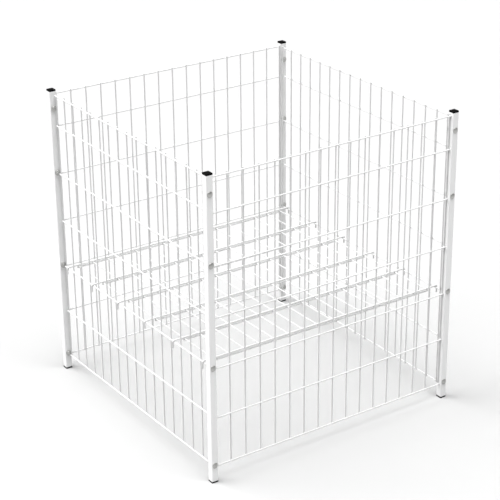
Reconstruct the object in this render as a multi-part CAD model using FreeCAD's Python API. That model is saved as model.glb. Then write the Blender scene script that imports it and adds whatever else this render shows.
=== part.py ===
import FreeCAD, Part
import math
import os

from FreeCAD import Placement, Rotation, Vector

# A square retail dump bin. Four square tube posts carry four welded wire panels, open at the
# top. The front and rear panels are welded to the posts and the two side panels are bolted on,
# so that the bin packs flat. A loose wire shelf hangs by its hooked rods on the side panels.
# X runs left to right, Y runs front to rear and Z runs up from the floor, all in millimetres.
# The origin is on the floor at the centre of the bin.

# Posts: square steel tube with a plastic cap and a plastic foot pressed into its ends
post_side = 20.0
post_wall = 1.2
post_inside_corner = 0.4
end_flange = 5.0
end_corner = 0.8
end_edge_round = 0.7
plug_length = 14.0
plug_wall = 2.0
plug_rib_gap = 0.1
plug_rib_depth = 1.2
plug_rib_height = 1.0
plug_rib_pitch = 4.0

# Wire panels: upright wires inside, cross wires outside, welded at each crossing
mesh_wire = 4.0
mesh_pitch = 50.0
mesh_spaces = 16
row_pitch = 150.0
row_spaces = 5
rim_pitch = 100.0
bottom_row_height = 45.0
rim_drop = 10.0
rim_tip = 5.0
weld_sink = 0.2
side_panel_inset = 4.0
side_bottom_row = 47.0
side_row_rise = 5.0
side_rim_drop = 2.0

# Bolted joints of the side panels: square-necked M6 bolts along Y, through the posts into
# round nuts welded to the panels
bolt_diameter = 6.0
bolt_length = 25.0
bolt_head_diameter = 17.5
bolt_head_height = 3.9
bolt_head_rim = 0.6
bolt_neck_side = 6.4
bolt_neck_length = 3.5
bolt_end_chamfer = 0.8
bolt_hole_clearance = 0.3
bolt_row_step = 2
bolt_rise = 9.3
top_bolt_drop = 42.0
weld_nut_diameter = 17.0
weld_nut_height = 4.0
weld_nut_chamfer = 0.6
thread_clearance = 0.05

# Shelf: hooked rods over the long wires and short rods under them
shelf_row = 2
hook_rod = 5.0
hook_rods = 6
hook_front_gap = 29.5
hook_rear_gap = 25.5
long_wire = 3.0
under_rod = 5.0
hook_drop = 17.0
seat_clearance = 0.3
rod_end_overhang = 1.0

# Places that follow from these sizes
mesh_half = mesh_spaces * mesh_pitch / 2
post_inner = mesh_half + mesh_wire / 2
post_centre = post_inner + post_side / 2
post_outer = post_inner + post_side
post_corner = post_inside_corner + post_wall
tube_bore = post_side - 2 * post_wall

mesh_rows = [bottom_row_height + i * row_pitch for i in range(row_spaces + 1)]
rim_height = mesh_rows[-1] + rim_pitch
all_rows = mesh_rows + [rim_height]
tube_bottom = end_flange
tube_top = rim_height + rim_drop
mesh_columns = [i * mesh_pitch - mesh_half for i in range(mesh_spaces + 1)]
weld_step = mesh_wire - weld_sink
side_cross_place = post_centre - side_panel_inset

bolt_rows = [row + bolt_rise for row in mesh_rows[::bolt_row_step]] + [rim_height - top_bolt_drop]
side_rows = [side_bottom_row] + [row + side_row_rise for row in mesh_rows[1:]]
side_rows.append(rim_height - side_rim_drop)
side_reach = post_inner - weld_nut_height
side_end_column = side_reach - mesh_wire / 2 + weld_sink
side_columns = [-side_end_column] + mesh_columns[1:-1] + [side_end_column]

seat_height = side_rows[shelf_row]
hook_bend = mesh_wire / 2 + seat_clearance + hook_rod / 2
hook_rod_height = seat_height + hook_bend
long_wire_height = hook_rod_height - hook_rod / 2 - long_wire / 2 + weld_sink
under_rod_height = long_wire_height - long_wire / 2 - under_rod / 2 + weld_sink
shelf_places = [(a + b) / 2 for a, b in zip(mesh_columns, mesh_columns[1:])]
hook_start = hook_front_gap - mesh_half
hook_pitch = (mesh_half - hook_rear_gap - hook_start) / (hook_rods - 1)
hook_places = [hook_start + step * hook_pitch for step in range(hook_rods)]

AXIS_X = Vector(1, 0, 0)
AXIS_Y = Vector(0, 1, 0)
AXIS_Z = Vector(0, 0, 1)
SIDES = {"left": -1, "right": 1}
ENDS = {"front": -1, "rear": 1}


def rod(start, axis, length, diameter):
    """A straight round wire or rod."""
    return Part.makeCylinder(diameter / 2, length, start, axis)


def square_bar(side, corner, bottom, height):
    """An upright square bar on the Z axis with rounded corners."""
    bar = Part.makeBox(side, side, height, Vector(-side / 2, -side / 2, bottom))
    uprights = [e for e in bar.Edges if abs(e.tangentAt(e.FirstParameter).z) > 0.5]
    return bar.makeFillet(corner, uprights)


def placed(shape, x, y, z=0.0, turn=0.0):
    """A copy of a shape, turned about Z and moved."""
    copy = shape.copy()
    copy.Placement = Placement(Vector(x, y, z), Rotation(AXIS_Z, turn)).multiply(copy.Placement)
    return copy


def save(name, solids):
    """Write one sub-part: a single solid, or a group of separate solids."""
    shape = solids[0] if len(solids) == 1 else Part.makeCompound(solids)
    shape.exportStep(os.path.join("parts", name + ".step"))


def post(outward):
    """Tube with a square hole in its outer wall and a round hole in its inner wall per bolt."""
    length = tube_top - tube_bottom
    tube = square_bar(post_side, post_corner, tube_bottom, length)
    tube = tube.cut(square_bar(tube_bore, post_inside_corner, tube_bottom, length))
    square = bolt_neck_side + bolt_hole_clearance
    round_hole = bolt_diameter + bolt_hole_clearance
    for height in bolt_rows:
        neck_hole = Part.makeBox(square, post_side / 2, square,
                                 Vector(-square / 2, 0, height - square / 2))
        shank_hole = rod(Vector(0, 0, height), Vector(0, -1, 0), post_side / 2, round_hole)
        holes = neck_hole.fuse(shank_hole)
        if outward < 0:
            holes.rotate(Vector(0, 0, height), AXIS_Z, 180)
        tube = tube.cut(holes)
    return tube


def end_insert():
    """Moulded insert for an upper tube end: a flange and a hollow plug with grip ribs.

    The flange's underside is at Z = 0 and the plug hangs below it."""
    flange = square_bar(post_side, end_corner, 0, end_flange)
    top_edges = [e for e in flange.Edges if min(v.Z for v in e.Vertexes) > end_flange / 2]
    flange = flange.makeFillet(end_edge_round, top_edges)
    rib_side = tube_bore - 2 * plug_rib_gap
    core_side = rib_side - 2 * plug_rib_depth
    plug = square_bar(core_side, post_inside_corner, -plug_length, plug_length)
    rib_top = -plug_rib_pitch
    while rib_top - plug_rib_height > -plug_length:
        rib = square_bar(rib_side, post_inside_corner, rib_top - plug_rib_height, plug_rib_height)
        plug = plug.fuse(rib)
        rib_top -= plug_rib_pitch
    hollow_side = core_side - 2 * plug_wall
    hollow = Part.makeBox(hollow_side, hollow_side, plug_length,
                          Vector(-hollow_side / 2, -hollow_side / 2, -plug_length))
    return flange.fuse(plug).cut(hollow).removeSplitter()


def panel_wires(upright_place, cross_place, columns, rows, reach):
    """The upright and the cross wires of a panel that spans X, at two Y places.

    The uprights end flush under the bottom wire and stand a little above the rim wire."""
    start = rows[0] - mesh_wire / 2
    length = rows[-1] + rim_tip - start
    uprights = [rod(Vector(x, upright_place, start), AXIS_Z, length, mesh_wire) for x in columns]
    crosses = [rod(Vector(-reach, cross_place, z), AXIS_X, 2 * reach, mesh_wire) for z in rows]
    return uprights, crosses


def turned(solids, turn):
    """Copies of some solids, turned about the bin's centre line."""
    return [placed(solid, 0, 0, 0, turn) for solid in solids]


def bolt():
    """Square-necked bolt along Y: head on the post's outer face, shank toward the inside."""
    head_radius = bolt_head_diameter / 2
    shank_radius = bolt_diameter / 2
    rise = bolt_head_height - bolt_head_rim
    dome_radius = (head_radius ** 2 + rise ** 2) / (2 * rise)
    half_angle = math.asin(head_radius / dome_radius) / 2
    dome_middle = Vector(dome_radius * math.sin(half_angle),
                         bolt_head_height - dome_radius * (1 - math.cos(half_angle)), 0)
    rim_corner = Vector(head_radius, bolt_head_rim, 0)
    crown = Vector(0, bolt_head_height, 0)
    outline = [
        Part.Arc(crown, dome_middle, rim_corner).toShape(),
        Part.LineSegment(rim_corner, Vector(head_radius, 0, 0)).toShape(),
        Part.LineSegment(Vector(head_radius, 0, 0), Vector(shank_radius, 0, 0)).toShape(),
    ]
    end_points = [
        Vector(shank_radius, 0, 0),
        Vector(shank_radius, bolt_end_chamfer - bolt_length, 0),
        Vector(shank_radius - bolt_end_chamfer, -bolt_length, 0),
        Vector(0, -bolt_length, 0),
        crown,
    ]
    for a, b in zip(end_points, end_points[1:]):
        outline.append(Part.LineSegment(a, b).toShape())
    turned_part = Part.Face(Part.Wire(outline)).revolve(Vector(), AXIS_Y, 360)
    neck = Part.makeBox(bolt_neck_side, bolt_neck_length, bolt_neck_side,
                        Vector(-bolt_neck_side / 2, -bolt_neck_length, -bolt_neck_side / 2))
    return turned_part.fuse(neck).removeSplitter()


def weld_nut():
    """Round weld nut along Y: its face toward the post at Y = 0, its far edge chamfered."""
    radius = weld_nut_diameter / 2
    full_length = weld_nut_height - weld_nut_chamfer
    body = rod(Vector(0, 0, 0), Vector(0, -1, 0), full_length, weld_nut_diameter)
    edge = Part.makeCone(radius, radius - weld_nut_chamfer, weld_nut_chamfer,
                         Vector(0, -full_length, 0), Vector(0, -1, 0))
    bore = rod(Vector(0, 0, 0), Vector(0, -1, 0), weld_nut_height,
               bolt_diameter + 2 * thread_clearance)
    return body.fuse(edge).cut(bore).removeSplitter()


def at_each_bolt(fastener, face):
    """The fastener at each bolt of each post; the front posts' bolts come in from the front."""
    solids = []
    for side in SIDES.values():
        for end, turn in ((1, 0), (-1, 180)):
            solids += [placed(fastener, side * post_centre, end * face, z, turn) for z in bolt_rows]
    return solids


def hooked_rod(y):
    """Shelf rod along X, bent down over the side panels' cross wires at both ends."""
    straight = side_cross_place
    outer = side_cross_place + hook_bend
    bend_offset = hook_bend * math.sin(math.radians(45))
    points = [
        Vector(-outer, y, seat_height - hook_drop),
        Vector(-outer, y, seat_height),
        Vector(-straight, y, hook_rod_height),
        Vector(straight, y, hook_rod_height),
        Vector(outer, y, seat_height),
        Vector(outer, y, seat_height - hook_drop),
    ]
    left_middle = Vector(-straight - bend_offset, y, seat_height + bend_offset)
    right_middle = Vector(straight + bend_offset, y, seat_height + bend_offset)
    path = Part.Wire([
        Part.LineSegment(points[0], points[1]).toShape(),
        Part.Arc(points[1], left_middle, points[2]).toShape(),
        Part.LineSegment(points[2], points[3]).toShape(),
        Part.Arc(points[3], right_middle, points[4]).toShape(),
        Part.LineSegment(points[4], points[5]).toShape(),
    ])
    section = Part.Wire(Part.makeCircle(hook_rod / 2, points[0], AXIS_Z))
    return path.makePipeShell([section], True, True)


os.makedirs("parts", exist_ok=True)

cap = end_insert()
foot = cap.mirror(Vector(), AXIS_Z)
for end_name, end in ENDS.items():
    for side_name, side in SIDES.items():
        corner = end_name + "_" + side_name
        x = side * post_centre
        y = end * post_centre
        save("post_" + corner, [placed(post(end), x, y)])
        save("top_cap_" + corner, [placed(cap, x, y, tube_top)])
        save("foot_" + corner, [placed(foot, x, y, tube_bottom)])

welded_uprights, welded_crosses = panel_wires(-post_centre + weld_step, -post_centre,
                                              mesh_columns, all_rows, post_inner)
save("front_panel_uprights", welded_uprights)
save("front_panel_cross_wires", welded_crosses)
save("rear_panel_uprights", turned(welded_uprights, 180))
save("rear_panel_cross_wires", turned(welded_crosses, 180))

bolted_uprights, bolted_crosses = panel_wires(-side_cross_place + weld_step, -side_cross_place,
                                              side_columns, side_rows, side_reach)
save("left_panel_uprights", turned(bolted_uprights, -90))
save("left_panel_cross_wires", turned(bolted_crosses, -90))
save("right_panel_uprights", turned(bolted_uprights, 90))
save("right_panel_cross_wires", turned(bolted_crosses, 90))

save("panel_bolts", at_each_bolt(bolt(), post_outer))
save("panel_weld_nuts", at_each_bolt(weld_nut(), post_inner))

wire_start = hook_places[0] - hook_rod / 2 - rod_end_overhang
wire_length = hook_places[-1] + hook_rod / 2 + rod_end_overhang - wire_start
under_reach = shelf_places[-1] + long_wire / 2 + rod_end_overhang
for number, y in enumerate(hook_places, start=1):
    save("shelf_hook_rod_%d" % number, [hooked_rod(y)])
    save("shelf_under_rod_%d" % number,
         [rod(Vector(-under_reach, y, under_rod_height), AXIS_X, 2 * under_reach, under_rod)])
save("shelf_long_wires", [rod(Vector(x, wire_start, long_wire_height), AXIS_Y,
                              wire_length, long_wire) for x in shelf_places])
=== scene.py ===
import math

import bmesh
import bpy
from mathutils import Matrix, Vector


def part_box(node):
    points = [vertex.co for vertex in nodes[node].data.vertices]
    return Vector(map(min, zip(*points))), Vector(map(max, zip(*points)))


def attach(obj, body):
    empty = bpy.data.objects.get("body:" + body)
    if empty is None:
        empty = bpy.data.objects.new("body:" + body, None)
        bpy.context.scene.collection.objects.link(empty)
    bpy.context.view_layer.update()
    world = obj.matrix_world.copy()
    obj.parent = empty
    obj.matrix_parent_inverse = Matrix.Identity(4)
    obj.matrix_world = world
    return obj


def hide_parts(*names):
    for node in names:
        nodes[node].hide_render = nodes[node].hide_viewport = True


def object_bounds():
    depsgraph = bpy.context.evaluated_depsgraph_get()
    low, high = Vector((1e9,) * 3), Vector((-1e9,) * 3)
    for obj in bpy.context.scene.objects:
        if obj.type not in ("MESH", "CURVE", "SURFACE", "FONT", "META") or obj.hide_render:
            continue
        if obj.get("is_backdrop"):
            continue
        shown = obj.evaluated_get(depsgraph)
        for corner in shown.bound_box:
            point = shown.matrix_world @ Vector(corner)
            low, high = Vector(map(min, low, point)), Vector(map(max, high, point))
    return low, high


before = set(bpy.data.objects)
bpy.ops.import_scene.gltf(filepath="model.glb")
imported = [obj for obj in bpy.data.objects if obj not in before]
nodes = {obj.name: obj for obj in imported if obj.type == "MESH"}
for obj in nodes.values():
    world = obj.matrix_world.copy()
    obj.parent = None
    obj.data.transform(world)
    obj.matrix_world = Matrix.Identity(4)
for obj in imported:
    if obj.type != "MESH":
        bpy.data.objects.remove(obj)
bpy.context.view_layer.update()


# ---- Posts ----------------------------------------------------------------------------------
# Four lengths of 20 mm square steel tube, punched for the bolts and powder-coated white. The
# baked polyester coat is smooth and semi-gloss, with the shallow ripple called orange peel.

MM = 0.001
POSTS = ["post_front_left", "post_front_right", "post_rear_left", "post_rear_right"]
POST_WHITE = "#E0E0E0"
POST_WHITE_DEEP = "#DDDDDD"
COAT_IOR = 1.5
COAT_ROUGHNESS = 0.32
COAT_SHADE_MM = 160.0
COAT_SHADE_DETAIL = 2.0
PEEL_MM = 2.2
PEEL_DETAIL = 1.0
PEEL_DEPTH_MM = 0.1
PEEL_STRENGTH = 0.12


def linear(hex_colour):
    """sRGB hex to linear RGBA."""
    channels = [int(hex_colour[i:i + 2], 16) / 255 for i in (1, 3, 5)]
    return [c / 12.92 if c <= 0.04045 else ((c + 0.055) / 1.055) ** 2.4 for c in channels] + [1]


def add(tree, kind, settings=(), links=()):
    """Add a node, with the values and the links of its inputs by name."""
    node = tree.nodes.new("ShaderNode" + kind)
    for key, value in dict(settings).items():
        node.inputs[key].default_value = value
    for key, source in dict(links).items():
        tree.links.new(source, node.inputs[key])
    return node


def start_material(name):
    """A new material with its own surface shader, and the object's coordinates in metres."""
    material = bpy.data.materials.new(name)
    material.use_nodes = True
    tree = material.node_tree
    place = add(tree, "TexCoord").outputs["Object"]
    return material, tree, tree.nodes["Principled BSDF"], place


def per_mm(size):
    """Noise scale, in turns per metre, for a feature of this size in millimetres."""
    return 1000 / size


def powder_coat(name, white, deep_white):
    """Polyester powder baked to a hard skin: soft, even highlights and no sparkle."""
    material, tree, shader, place = start_material(name)
    shader.inputs["IOR"].default_value = COAT_IOR
    shader.inputs["Roughness"].default_value = COAT_ROUGHNESS
    # The coat is a touch thicker in places: a slow, faint change of tone
    drift = add(tree, "TexNoise",
                {"Scale": per_mm(COAT_SHADE_MM), "Detail": COAT_SHADE_DETAIL},
                {"Vector": place})
    tone = add(tree, "ValToRGB", links={"Fac": drift.outputs["Fac"]})
    tone.color_ramp.elements[0].color = linear(deep_white)
    tone.color_ramp.elements[1].color = linear(white)
    tree.links.new(tone.outputs["Color"], shader.inputs["Base Color"])
    # Orange peel: ripples a couple of millimetres across and about a hundredth deep
    peel = add(tree, "TexNoise",
               {"Scale": per_mm(PEEL_MM), "Detail": PEEL_DETAIL},
               {"Vector": place})
    bump = add(tree, "Bump",
               {"Strength": PEEL_STRENGTH, "Distance": PEEL_DEPTH_MM * MM},
               {"Height": peel.outputs["Fac"]})
    tree.links.new(bump.outputs["Normal"], shader.inputs["Normal"])
    return material


post_coat = powder_coat("white polyester powder coat", POST_WHITE, POST_WHITE_DEEP)


def dress(names, material):
    """Give CAD nodes their finish, in every slot they have."""
    for name in names:
        for slot in nodes[name].material_slots:
            slot.material = material


dress(POSTS, post_coat)


# ---- Top caps and feet ----------------------------------------------------------------------
# Black polyethylene inserts pushed into the tube ends, moulded with a fine spark-eroded grain.
# The grain scatters the light, so the flat top reads dark grey and the rounded rim black.

INSERTS = [post.replace("post", kind) for post in POSTS for kind in ("top_cap", "foot")]
PLASTIC_BLACK = "#040404"
PLASTIC_IOR = 1.51
PLASTIC_SPECULAR = 0.08
PLASTIC_SMOOTHEST = 0.66
PLASTIC_ROUGHEST = 0.8
GRAIN_MM = 0.35
GRAIN_DETAIL = 2.0
GRAIN_DEPTH_MM = 0.05
GRAIN_STRENGTH = 0.25


def moulded_plastic():
    """Polyethylene from a spark-eroded mould: a deep black under a dull sheen, with no shine."""
    material, tree, shader, place = start_material("black moulded polyethylene")
    shader.inputs["Base Color"].default_value = linear(PLASTIC_BLACK)
    shader.inputs["IOR"].default_value = PLASTIC_IOR
    shader.inputs["Specular IOR Level"].default_value = PLASTIC_SPECULAR
    # The real grain is finer still: this is as coarse as it has to be to show close up
    grain = add(tree, "TexNoise",
                {"Scale": per_mm(GRAIN_MM), "Detail": GRAIN_DETAIL},
                {"Vector": place})
    roughness = add(tree, "MapRange",
                    {"To Min": PLASTIC_SMOOTHEST, "To Max": PLASTIC_ROUGHEST},
                    {"Value": grain.outputs["Fac"]})
    tree.links.new(roughness.outputs["Result"], shader.inputs["Roughness"])
    bump = add(tree, "Bump",
               {"Strength": GRAIN_STRENGTH, "Distance": GRAIN_DEPTH_MM * MM},
               {"Height": grain.outputs["Fac"]})
    tree.links.new(bump.outputs["Normal"], shader.inputs["Normal"])
    return material


dress(INSERTS, moulded_plastic())


# ---- Mesh panels ----------------------------------------------------------------------------
# Four panels of 4 mm drawn steel wire, spot-welded at every crossing and coated after welding.
# The front and rear ones are welded to the posts and the side ones bolted. The wire's white is
# a greyer copy of the posts' coat: painted shade, which makes the wires' undersides darker.

SIDES = ("front", "rear", "left", "right")
# Painted shade: a greyer white than the posts', to darken the wires' shaded undersides
WIRE_SHADED_WHITE = "#CACACA"
WIRE_SHADED_WHITE_DEEP = "#C7C7C7"

shaded_wire_coat = powder_coat("white powder coat on wire, greyed as painted shade", WIRE_SHADED_WHITE, WIRE_SHADED_WHITE_DEEP)
dress([side + "_panel_uprights" for side in SIDES], shaded_wire_coat)
dress([side + "_panel_cross_wires" for side in SIDES], shaded_wire_coat)


# ---- Welds of the panels --------------------------------------------------------------------
# At each crossing the wires sink into each other and squeeze out a small collar of steel, which
# fills the four corners between them. The coat covers it, so it is as white as the wires.

WELD_RADIUS = 2.15
WELD_HALF_HEIGHT = 1.25
WELD_LOBE = 0.12
WELD_CORNERS = 4
WELD_SIDES = 16
BEAD_EDGE_DEGREES = 75
BEAD_STEP_DEGREES = 25
SHARP_DEGREES = 50
LEAST_WIRE_PITCH = 10


def middles(name, axis):
    """Where the wires of a node lie along an axis: the middle of each cluster of vertices."""
    spots = sorted({round(v.co[axis], 5) for v in nodes[name].data.vertices})
    breaks = [i for i in range(1, len(spots))
              if spots[i] - spots[i - 1] > LEAST_WIRE_PITCH * MM]
    return [(spots[a] + spots[b - 1]) / 2 for a, b in zip([0] + breaks, breaks + [len(spots)])]


def lathe(profile, sides, outline):
    """A profile of (radius, height) in mm turned about Z. The outline reshapes each ring."""
    verts, faces = [], []
    for radius, height in profile:
        for i in range(sides):
            turn = 2 * math.pi * i / sides
            reach = outline(radius, turn, height)
            verts.append(Vector((reach * math.cos(turn), reach * math.sin(turn), height)) * MM)
    for ring in range(len(profile) - 1):
        for i in range(sides):
            a, b = ring * sides + i, ring * sides + (i + 1) % sides
            faces.append((a, b, b + sides, a + sides))
    faces.append(tuple(range(sides)))
    faces.append(tuple(range((len(profile) - 1) * sides, len(profile) * sides)))
    return verts, faces


def weld_collar(radius, half_height):
    """A bead round a crossing, fuller in the corners than along the wires."""
    angles = [math.radians(a)
              for a in range(-BEAD_EDGE_DEGREES, BEAD_EDGE_DEGREES + 1, BEAD_STEP_DEGREES)]
    bead = [(radius * math.cos(a), half_height * math.sin(a)) for a in angles]
    return lathe(bead, WELD_SIDES, lambda reach, turn, height:
                 reach * (1 - WELD_LOBE * math.cos(WELD_CORNERS * turn)))


def piece(name, shape, places, material, body):
    """One object made of copies of a shape, one for each matrix, that rides on a body."""
    shape_verts, shape_faces = shape
    verts, faces = [], []
    for place in places:
        start = len(verts)
        verts += [place @ v for v in shape_verts]
        faces += [[start + i for i in face] for face in shape_faces]
    mesh = bpy.data.meshes.new(name)
    mesh.from_pydata(verts, [], faces)
    work = bmesh.new()
    work.from_mesh(mesh)
    bmesh.ops.recalc_face_normals(work, faces=work.faces)
    work.to_mesh(mesh)
    work.free()
    mesh.shade_smooth()
    mesh.set_sharp_from_angle(angle=math.radians(SHARP_DEGREES))
    mesh.materials.append(material)
    thing = bpy.data.objects.new(name, mesh)
    bpy.context.collection.objects.link(thing)
    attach(thing, body)
    return thing


def facing(direction, point, roll=0.0):
    """Matrix that turns Z to a direction, rolls about it and moves to a point."""
    turn = Vector((0, 0, 1)).rotation_difference(Vector(direction)).to_matrix().to_4x4()
    return Matrix.Translation(point) @ turn @ Matrix.Rotation(roll, 4, "Z")


collar = weld_collar(WELD_RADIUS, WELD_HALF_HEIGHT)
for side in SIDES:
    run, normal, outward = (0, 1, (0, 1, 0)) if side in ("front", "rear") else (1, 0, (1, 0, 0))
    uprights, cross_wires = side + "_panel_uprights", side + "_panel_cross_wires"
    depth = sum(middles(uprights, normal) + middles(cross_wires, normal)) / 2
    spots = []
    for along in middles(uprights, run):
        for height in middles(cross_wires, 2):
            spot = Vector((0, 0, height))
            spot[run] = along
            spot[normal] = depth
            spots.append(facing(outward, spot))
    piece(side + "_panel_welds", collar, spots, shaded_wire_coat, "bin")


# ---- Welds to the posts ---------------------------------------------------------------------
# The cross wires of the front and rear panels end on the posts' inner faces, each in a small
# fillet weld laid round the wire by hand, uneven by a tenth of a millimetre or two.

FILLET = [(3.5, 0.0), (3.1, 0.35), (2.65, 0.8), (2.3, 1.3), (2.05, 1.9), (1.8, 2.3)]
FILLET_SIDES = 20
FILLET_LOBE = 0.05
FILLET_LOBES = 3
LEFT_ROLL_STEP = 1.3
RIGHT_ROLL_STEP = 1.9

fillet = lathe(FILLET, FILLET_SIDES, lambda radius, turn, height:
               radius * (1 + FILLET_LOBE * math.cos(FILLET_LOBES * turn)))
for side in ("front", "rear"):
    wires = side + "_panel_cross_wires"
    line = middles(wires, 1)[0]
    low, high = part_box(wires)
    spots = []
    for number, height in enumerate(middles(wires, 2)):
        spots.append(facing((1, 0, 0), (low[0], line, height), LEFT_ROLL_STEP * number))
        spots.append(facing((-1, 0, 0), (high[0], line, height), RIGHT_ROLL_STEP * number))
    piece(side + "_post_welds", fillet, spots, shaded_wire_coat, "bin")


# ---- Bolts and weld nuts --------------------------------------------------------------------
# M6 steel bolts with domed heads go through the posts into round nuts that are welded to the
# side panels' end wires. Bright zinc plating: a soft grey metal with faint cloudy patches.

ZINC_DARK = "#A9A9A7"
ZINC_LIGHT = "#C2C2C0"
ZINC_SMOOTHEST = 0.38
ZINC_ROUGHEST = 0.5
ZINC_CLOUD_MM = 3.0
ZINC_CLOUD_DETAIL = 3.0
BOLT_SIDES = 24
BOLT_LENGTH = 25.0
HEAD_RADIUS = 8.75
HEAD_HEIGHT = 3.9
HEAD_RIM = 0.6
HEAD_UNDER_EDGE = 0.2
HEAD_RIM_EDGE = 0.1
DOME_RINGS = (0.97, 0.9, 0.8, 0.68, 0.55, 0.42, 0.3, 0.18, 0.07)
NECK_HALF = 3.2
NECK_LENGTH = 3.5
SHANK_RADIUS = 2.9
TIP_RADIUS = 2.2
THREAD_CREST = 2.98
THREAD_ROOT = 2.45
THREAD_PITCH = 1.0
THREAD_LENGTH = 14.0
THREAD_STEPS = 8
THREAD_RUN_OUT = 0.3
FLANK_TOP = 1.15
FLANK_SLOPE = 2.6


def zinc_plate():
    """Electroplated zinc with a clear passivate: bright grey, but too cloudy to mirror a shape."""
    material, tree, shader, place = start_material("bright zinc plate")
    shader.inputs["Metallic"].default_value = 1.0
    cloud = add(tree, "TexNoise",
                {"Scale": per_mm(ZINC_CLOUD_MM), "Detail": ZINC_CLOUD_DETAIL},
                {"Vector": place})
    tone = add(tree, "ValToRGB", links={"Fac": cloud.outputs["Fac"]})
    tone.color_ramp.elements[0].color = linear(ZINC_DARK)
    tone.color_ramp.elements[1].color = linear(ZINC_LIGHT)
    tree.links.new(tone.outputs["Color"], shader.inputs["Base Color"])
    roughness = add(tree, "MapRange",
                    {"To Min": ZINC_SMOOTHEST, "To Max": ZINC_ROUGHEST},
                    {"Value": cloud.outputs["Fac"]})
    tree.links.new(roughness.outputs["Result"], shader.inputs["Roughness"])
    return material


def bolt_outline(radius, turn, height):
    """The neck is square and the thread is a ridge that climbs as it goes round."""
    if radius == NECK_HALF:
        return NECK_HALF / max(abs(math.cos(turn)), abs(math.sin(turn)))
    if height > THREAD_LENGTH - BOLT_LENGTH:
        return radius
    # Straight flanks, cut off flat over about an eighth of the pitch at the crest and the root
    phase = (height / THREAD_PITCH - turn / (2 * math.pi)) % 1
    ridge = min(max(FLANK_TOP - FLANK_SLOPE * abs(phase - 0.5), 0), 1)
    thread = THREAD_ROOT + (THREAD_CREST - THREAD_ROOT) * ridge
    return min(thread, TIP_RADIUS + height + BOLT_LENGTH)


rise = HEAD_HEIGHT - HEAD_RIM
sphere = (HEAD_RADIUS ** 2 + rise ** 2) / (2 * rise)
widest = math.asin(HEAD_RADIUS / sphere)
bolt_profile = [(THREAD_CREST, i * THREAD_PITCH / THREAD_STEPS - BOLT_LENGTH)
                for i in range(int(THREAD_LENGTH / THREAD_PITCH * THREAD_STEPS) + 1)]
bolt_profile += [(SHANK_RADIUS, THREAD_LENGTH - BOLT_LENGTH + THREAD_RUN_OUT),
                 (SHANK_RADIUS, -NECK_LENGTH),
                 (NECK_HALF, -NECK_LENGTH),
                 (NECK_HALF, 0),
                 (HEAD_RADIUS - HEAD_UNDER_EDGE, 0),
                 (HEAD_RADIUS, HEAD_UNDER_EDGE),
                 (HEAD_RADIUS, HEAD_RIM - HEAD_RIM_EDGE)]
bolt_profile += [(sphere * math.sin(widest * share),
                  HEAD_HEIGHT - sphere * (1 - math.cos(widest * share)))
                 for share in DOME_RINGS]

low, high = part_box("panel_bolts")
spots = []
for across in middles("panel_bolts", 0):
    for height in middles("panel_bolts", 2):
        spots.append(facing((0, -1, 0), (across, low[1] + HEAD_HEIGHT * MM, height)))
        spots.append(facing((0, 1, 0), (across, high[1] - HEAD_HEIGHT * MM, height)))
zinc = zinc_plate()
bolts = piece("threaded_bolts", lathe(bolt_profile, BOLT_SIDES, bolt_outline), spots, zinc,
              "bin")
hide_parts("panel_bolts")
dress(["panel_weld_nuts"], zinc)


# ---- Shelf ----------------------------------------------------------------------------------
# A loose welded grid: hooked rods from side to side, thin long wires below them and straight
# rods below those. It is coated white like the panels and hangs by its hooks on their wires.

SHELF_ROD_PAIRS = 6
SHELF_RODS = [kind + str(number) for kind in ("shelf_hook_rod_", "shelf_under_rod_")
              for number in range(1, SHELF_ROD_PAIRS + 1)]
SHELF_WELD_RADIUS = 1.9
SHELF_WELD_HALF_HEIGHT = 1.0

dress(SHELF_RODS + ["shelf_long_wires"], shaded_wire_coat)

collar = weld_collar(SHELF_WELD_RADIUS, SHELF_WELD_HALF_HEIGHT)
low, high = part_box("shelf_long_wires")
spots = []
for rod in SHELF_RODS:
    contact = high[2] if "hook" in rod else low[2]
    for across in middles("shelf_long_wires", 0):
        spots.append(facing((0, 0, 1), (across, middles(rod, 1)[0], contact)))
piece("shelf_welds", collar, spots, shaded_wire_coat, "shelf")


# ---- Floor ----------------------------------------------------------------------------------
# A plain, matt studio floor, so wide that its edge never shows. It is a mid tone in itself, and
# the strong light from above makes it look white.

FLOOR_HALF = 400.0
FLOOR_TONE = "#A3A3A3"
FLOOR_ROUGHNESS = 0.9

corners = [(x * FLOOR_HALF, y * FLOOR_HALF, 0) for x, y in ((-1, -1), (1, -1), (1, 1), (-1, 1))]
floor_mesh = bpy.data.meshes.new("studio_floor")
floor_mesh.from_pydata(corners, [], [(0, 1, 2, 3)])
floor = bpy.data.objects.new("studio_floor", floor_mesh)
bpy.context.collection.objects.link(floor)
paper, _, paper_shader, _ = start_material("matt white studio floor")
paper_shader.inputs["Base Color"].default_value = linear(FLOOR_TONE)
paper_shader.inputs["Roughness"].default_value = FLOOR_ROUGHNESS
floor.data.materials.append(paper)
floor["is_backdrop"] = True


# ---- Light ----------------------------------------------------------------------------------
# A white studio: large soft boxes far off, two from behind on the left and two almost overhead.
# The room has low white walls all round, which the metal mirrors, and a dark ceiling. Walls and
# ceiling meet in a short fade, at heights given as the sine of the angle above the horizon.

WALL_TOP = 0.19
CEILING_START = 0.26
WALL_GLOW = 0.6
CEILING_GLOW = 0.02
# Azimuth, with 0 the right and 90 the rear, elevation and apparent width in degrees; strength
SOFT_BOXES = {
    "rear_box": (125, 50, 30, 2.4),
    "rear_left_box": (160, 50, 30, 1.8),
    "overhead_front_box": (278, 73, 30, 3.9),
    "overhead_left_box": (180, 76, 22, 1.5),
}

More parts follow.
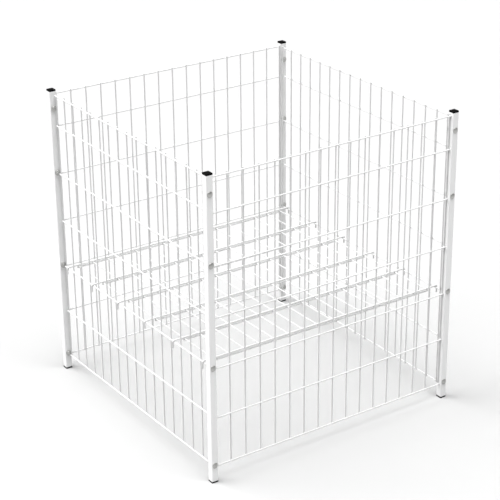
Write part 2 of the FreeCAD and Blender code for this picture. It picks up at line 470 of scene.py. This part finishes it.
room = bpy.data.worlds.new("studio_room")
room.use_nodes = True
backdrop = room.node_tree.nodes["Background"]
backdrop.inputs["Color"].default_value = (1, 1, 1, 1)
direction = add(room.node_tree, "TexCoord").outputs["Generated"]
height = add(room.node_tree, "SeparateXYZ", links={"Vector": direction}).outputs["Z"]
glow = add(room.node_tree, "MapRange",
           {"From Min": WALL_TOP, "From Max": CEILING_START,
            "To Min": WALL_GLOW, "To Max": CEILING_GLOW},
           {"Value": height})
room.node_tree.links.new(glow.outputs["Result"], backdrop.inputs["Strength"])
bpy.context.scene.world = room

for name, (azimuth, elevation, width, strength) in SOFT_BOXES.items():
    lamp = bpy.data.lights.new(name, "SUN")
    lamp.energy = strength
    lamp.angle = math.radians(width)
    turn, rise = math.radians(azimuth), math.radians(elevation)
    source = Vector((math.cos(turn) * math.cos(rise), math.sin(turn) * math.cos(rise),
                     math.sin(rise)))
    box = bpy.data.objects.new(name, lamp)
    box.rotation_euler = source.to_track_quat("Z", "Y").to_euler()
    bpy.context.collection.objects.link(box)


# ---- Camera ---------------------------------------------------------------------------------
# A long lens from the front left, five metres off and a metre and a half above the rim. The
# sizes in pixels are those of a square frame of 500 pixels.

CAMERA_PLACE = (-2.4956, -3.6342, 2.3933)
CAMERA_AZIMUTH = 35.717
CAMERA_ELEVATION = 24.472
FRAME_PIXELS = 500
FOCAL_PIXELS = 1626.0
CENTRE_PIXEL = (282.21, 266.68)
SENSOR_MM = 36.0

lens = bpy.data.cameras.new("camera")
lens.sensor_width = SENSOR_MM
lens.lens = FOCAL_PIXELS / FRAME_PIXELS * SENSOR_MM
lens.shift_x = 0.5 - CENTRE_PIXEL[0] / FRAME_PIXELS
lens.shift_y = CENTRE_PIXEL[1] / FRAME_PIXELS - 0.5
camera = bpy.data.objects.new("camera", lens)
camera.location = CAMERA_PLACE
camera.rotation_euler = (math.radians(90 - CAMERA_ELEVATION), 0, math.radians(-CAMERA_AZIMUTH))
bpy.context.collection.objects.link(camera)
bpy.context.scene.camera = camera
bpy.context.scene.view_settings.view_transform = "Standard"

low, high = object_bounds()
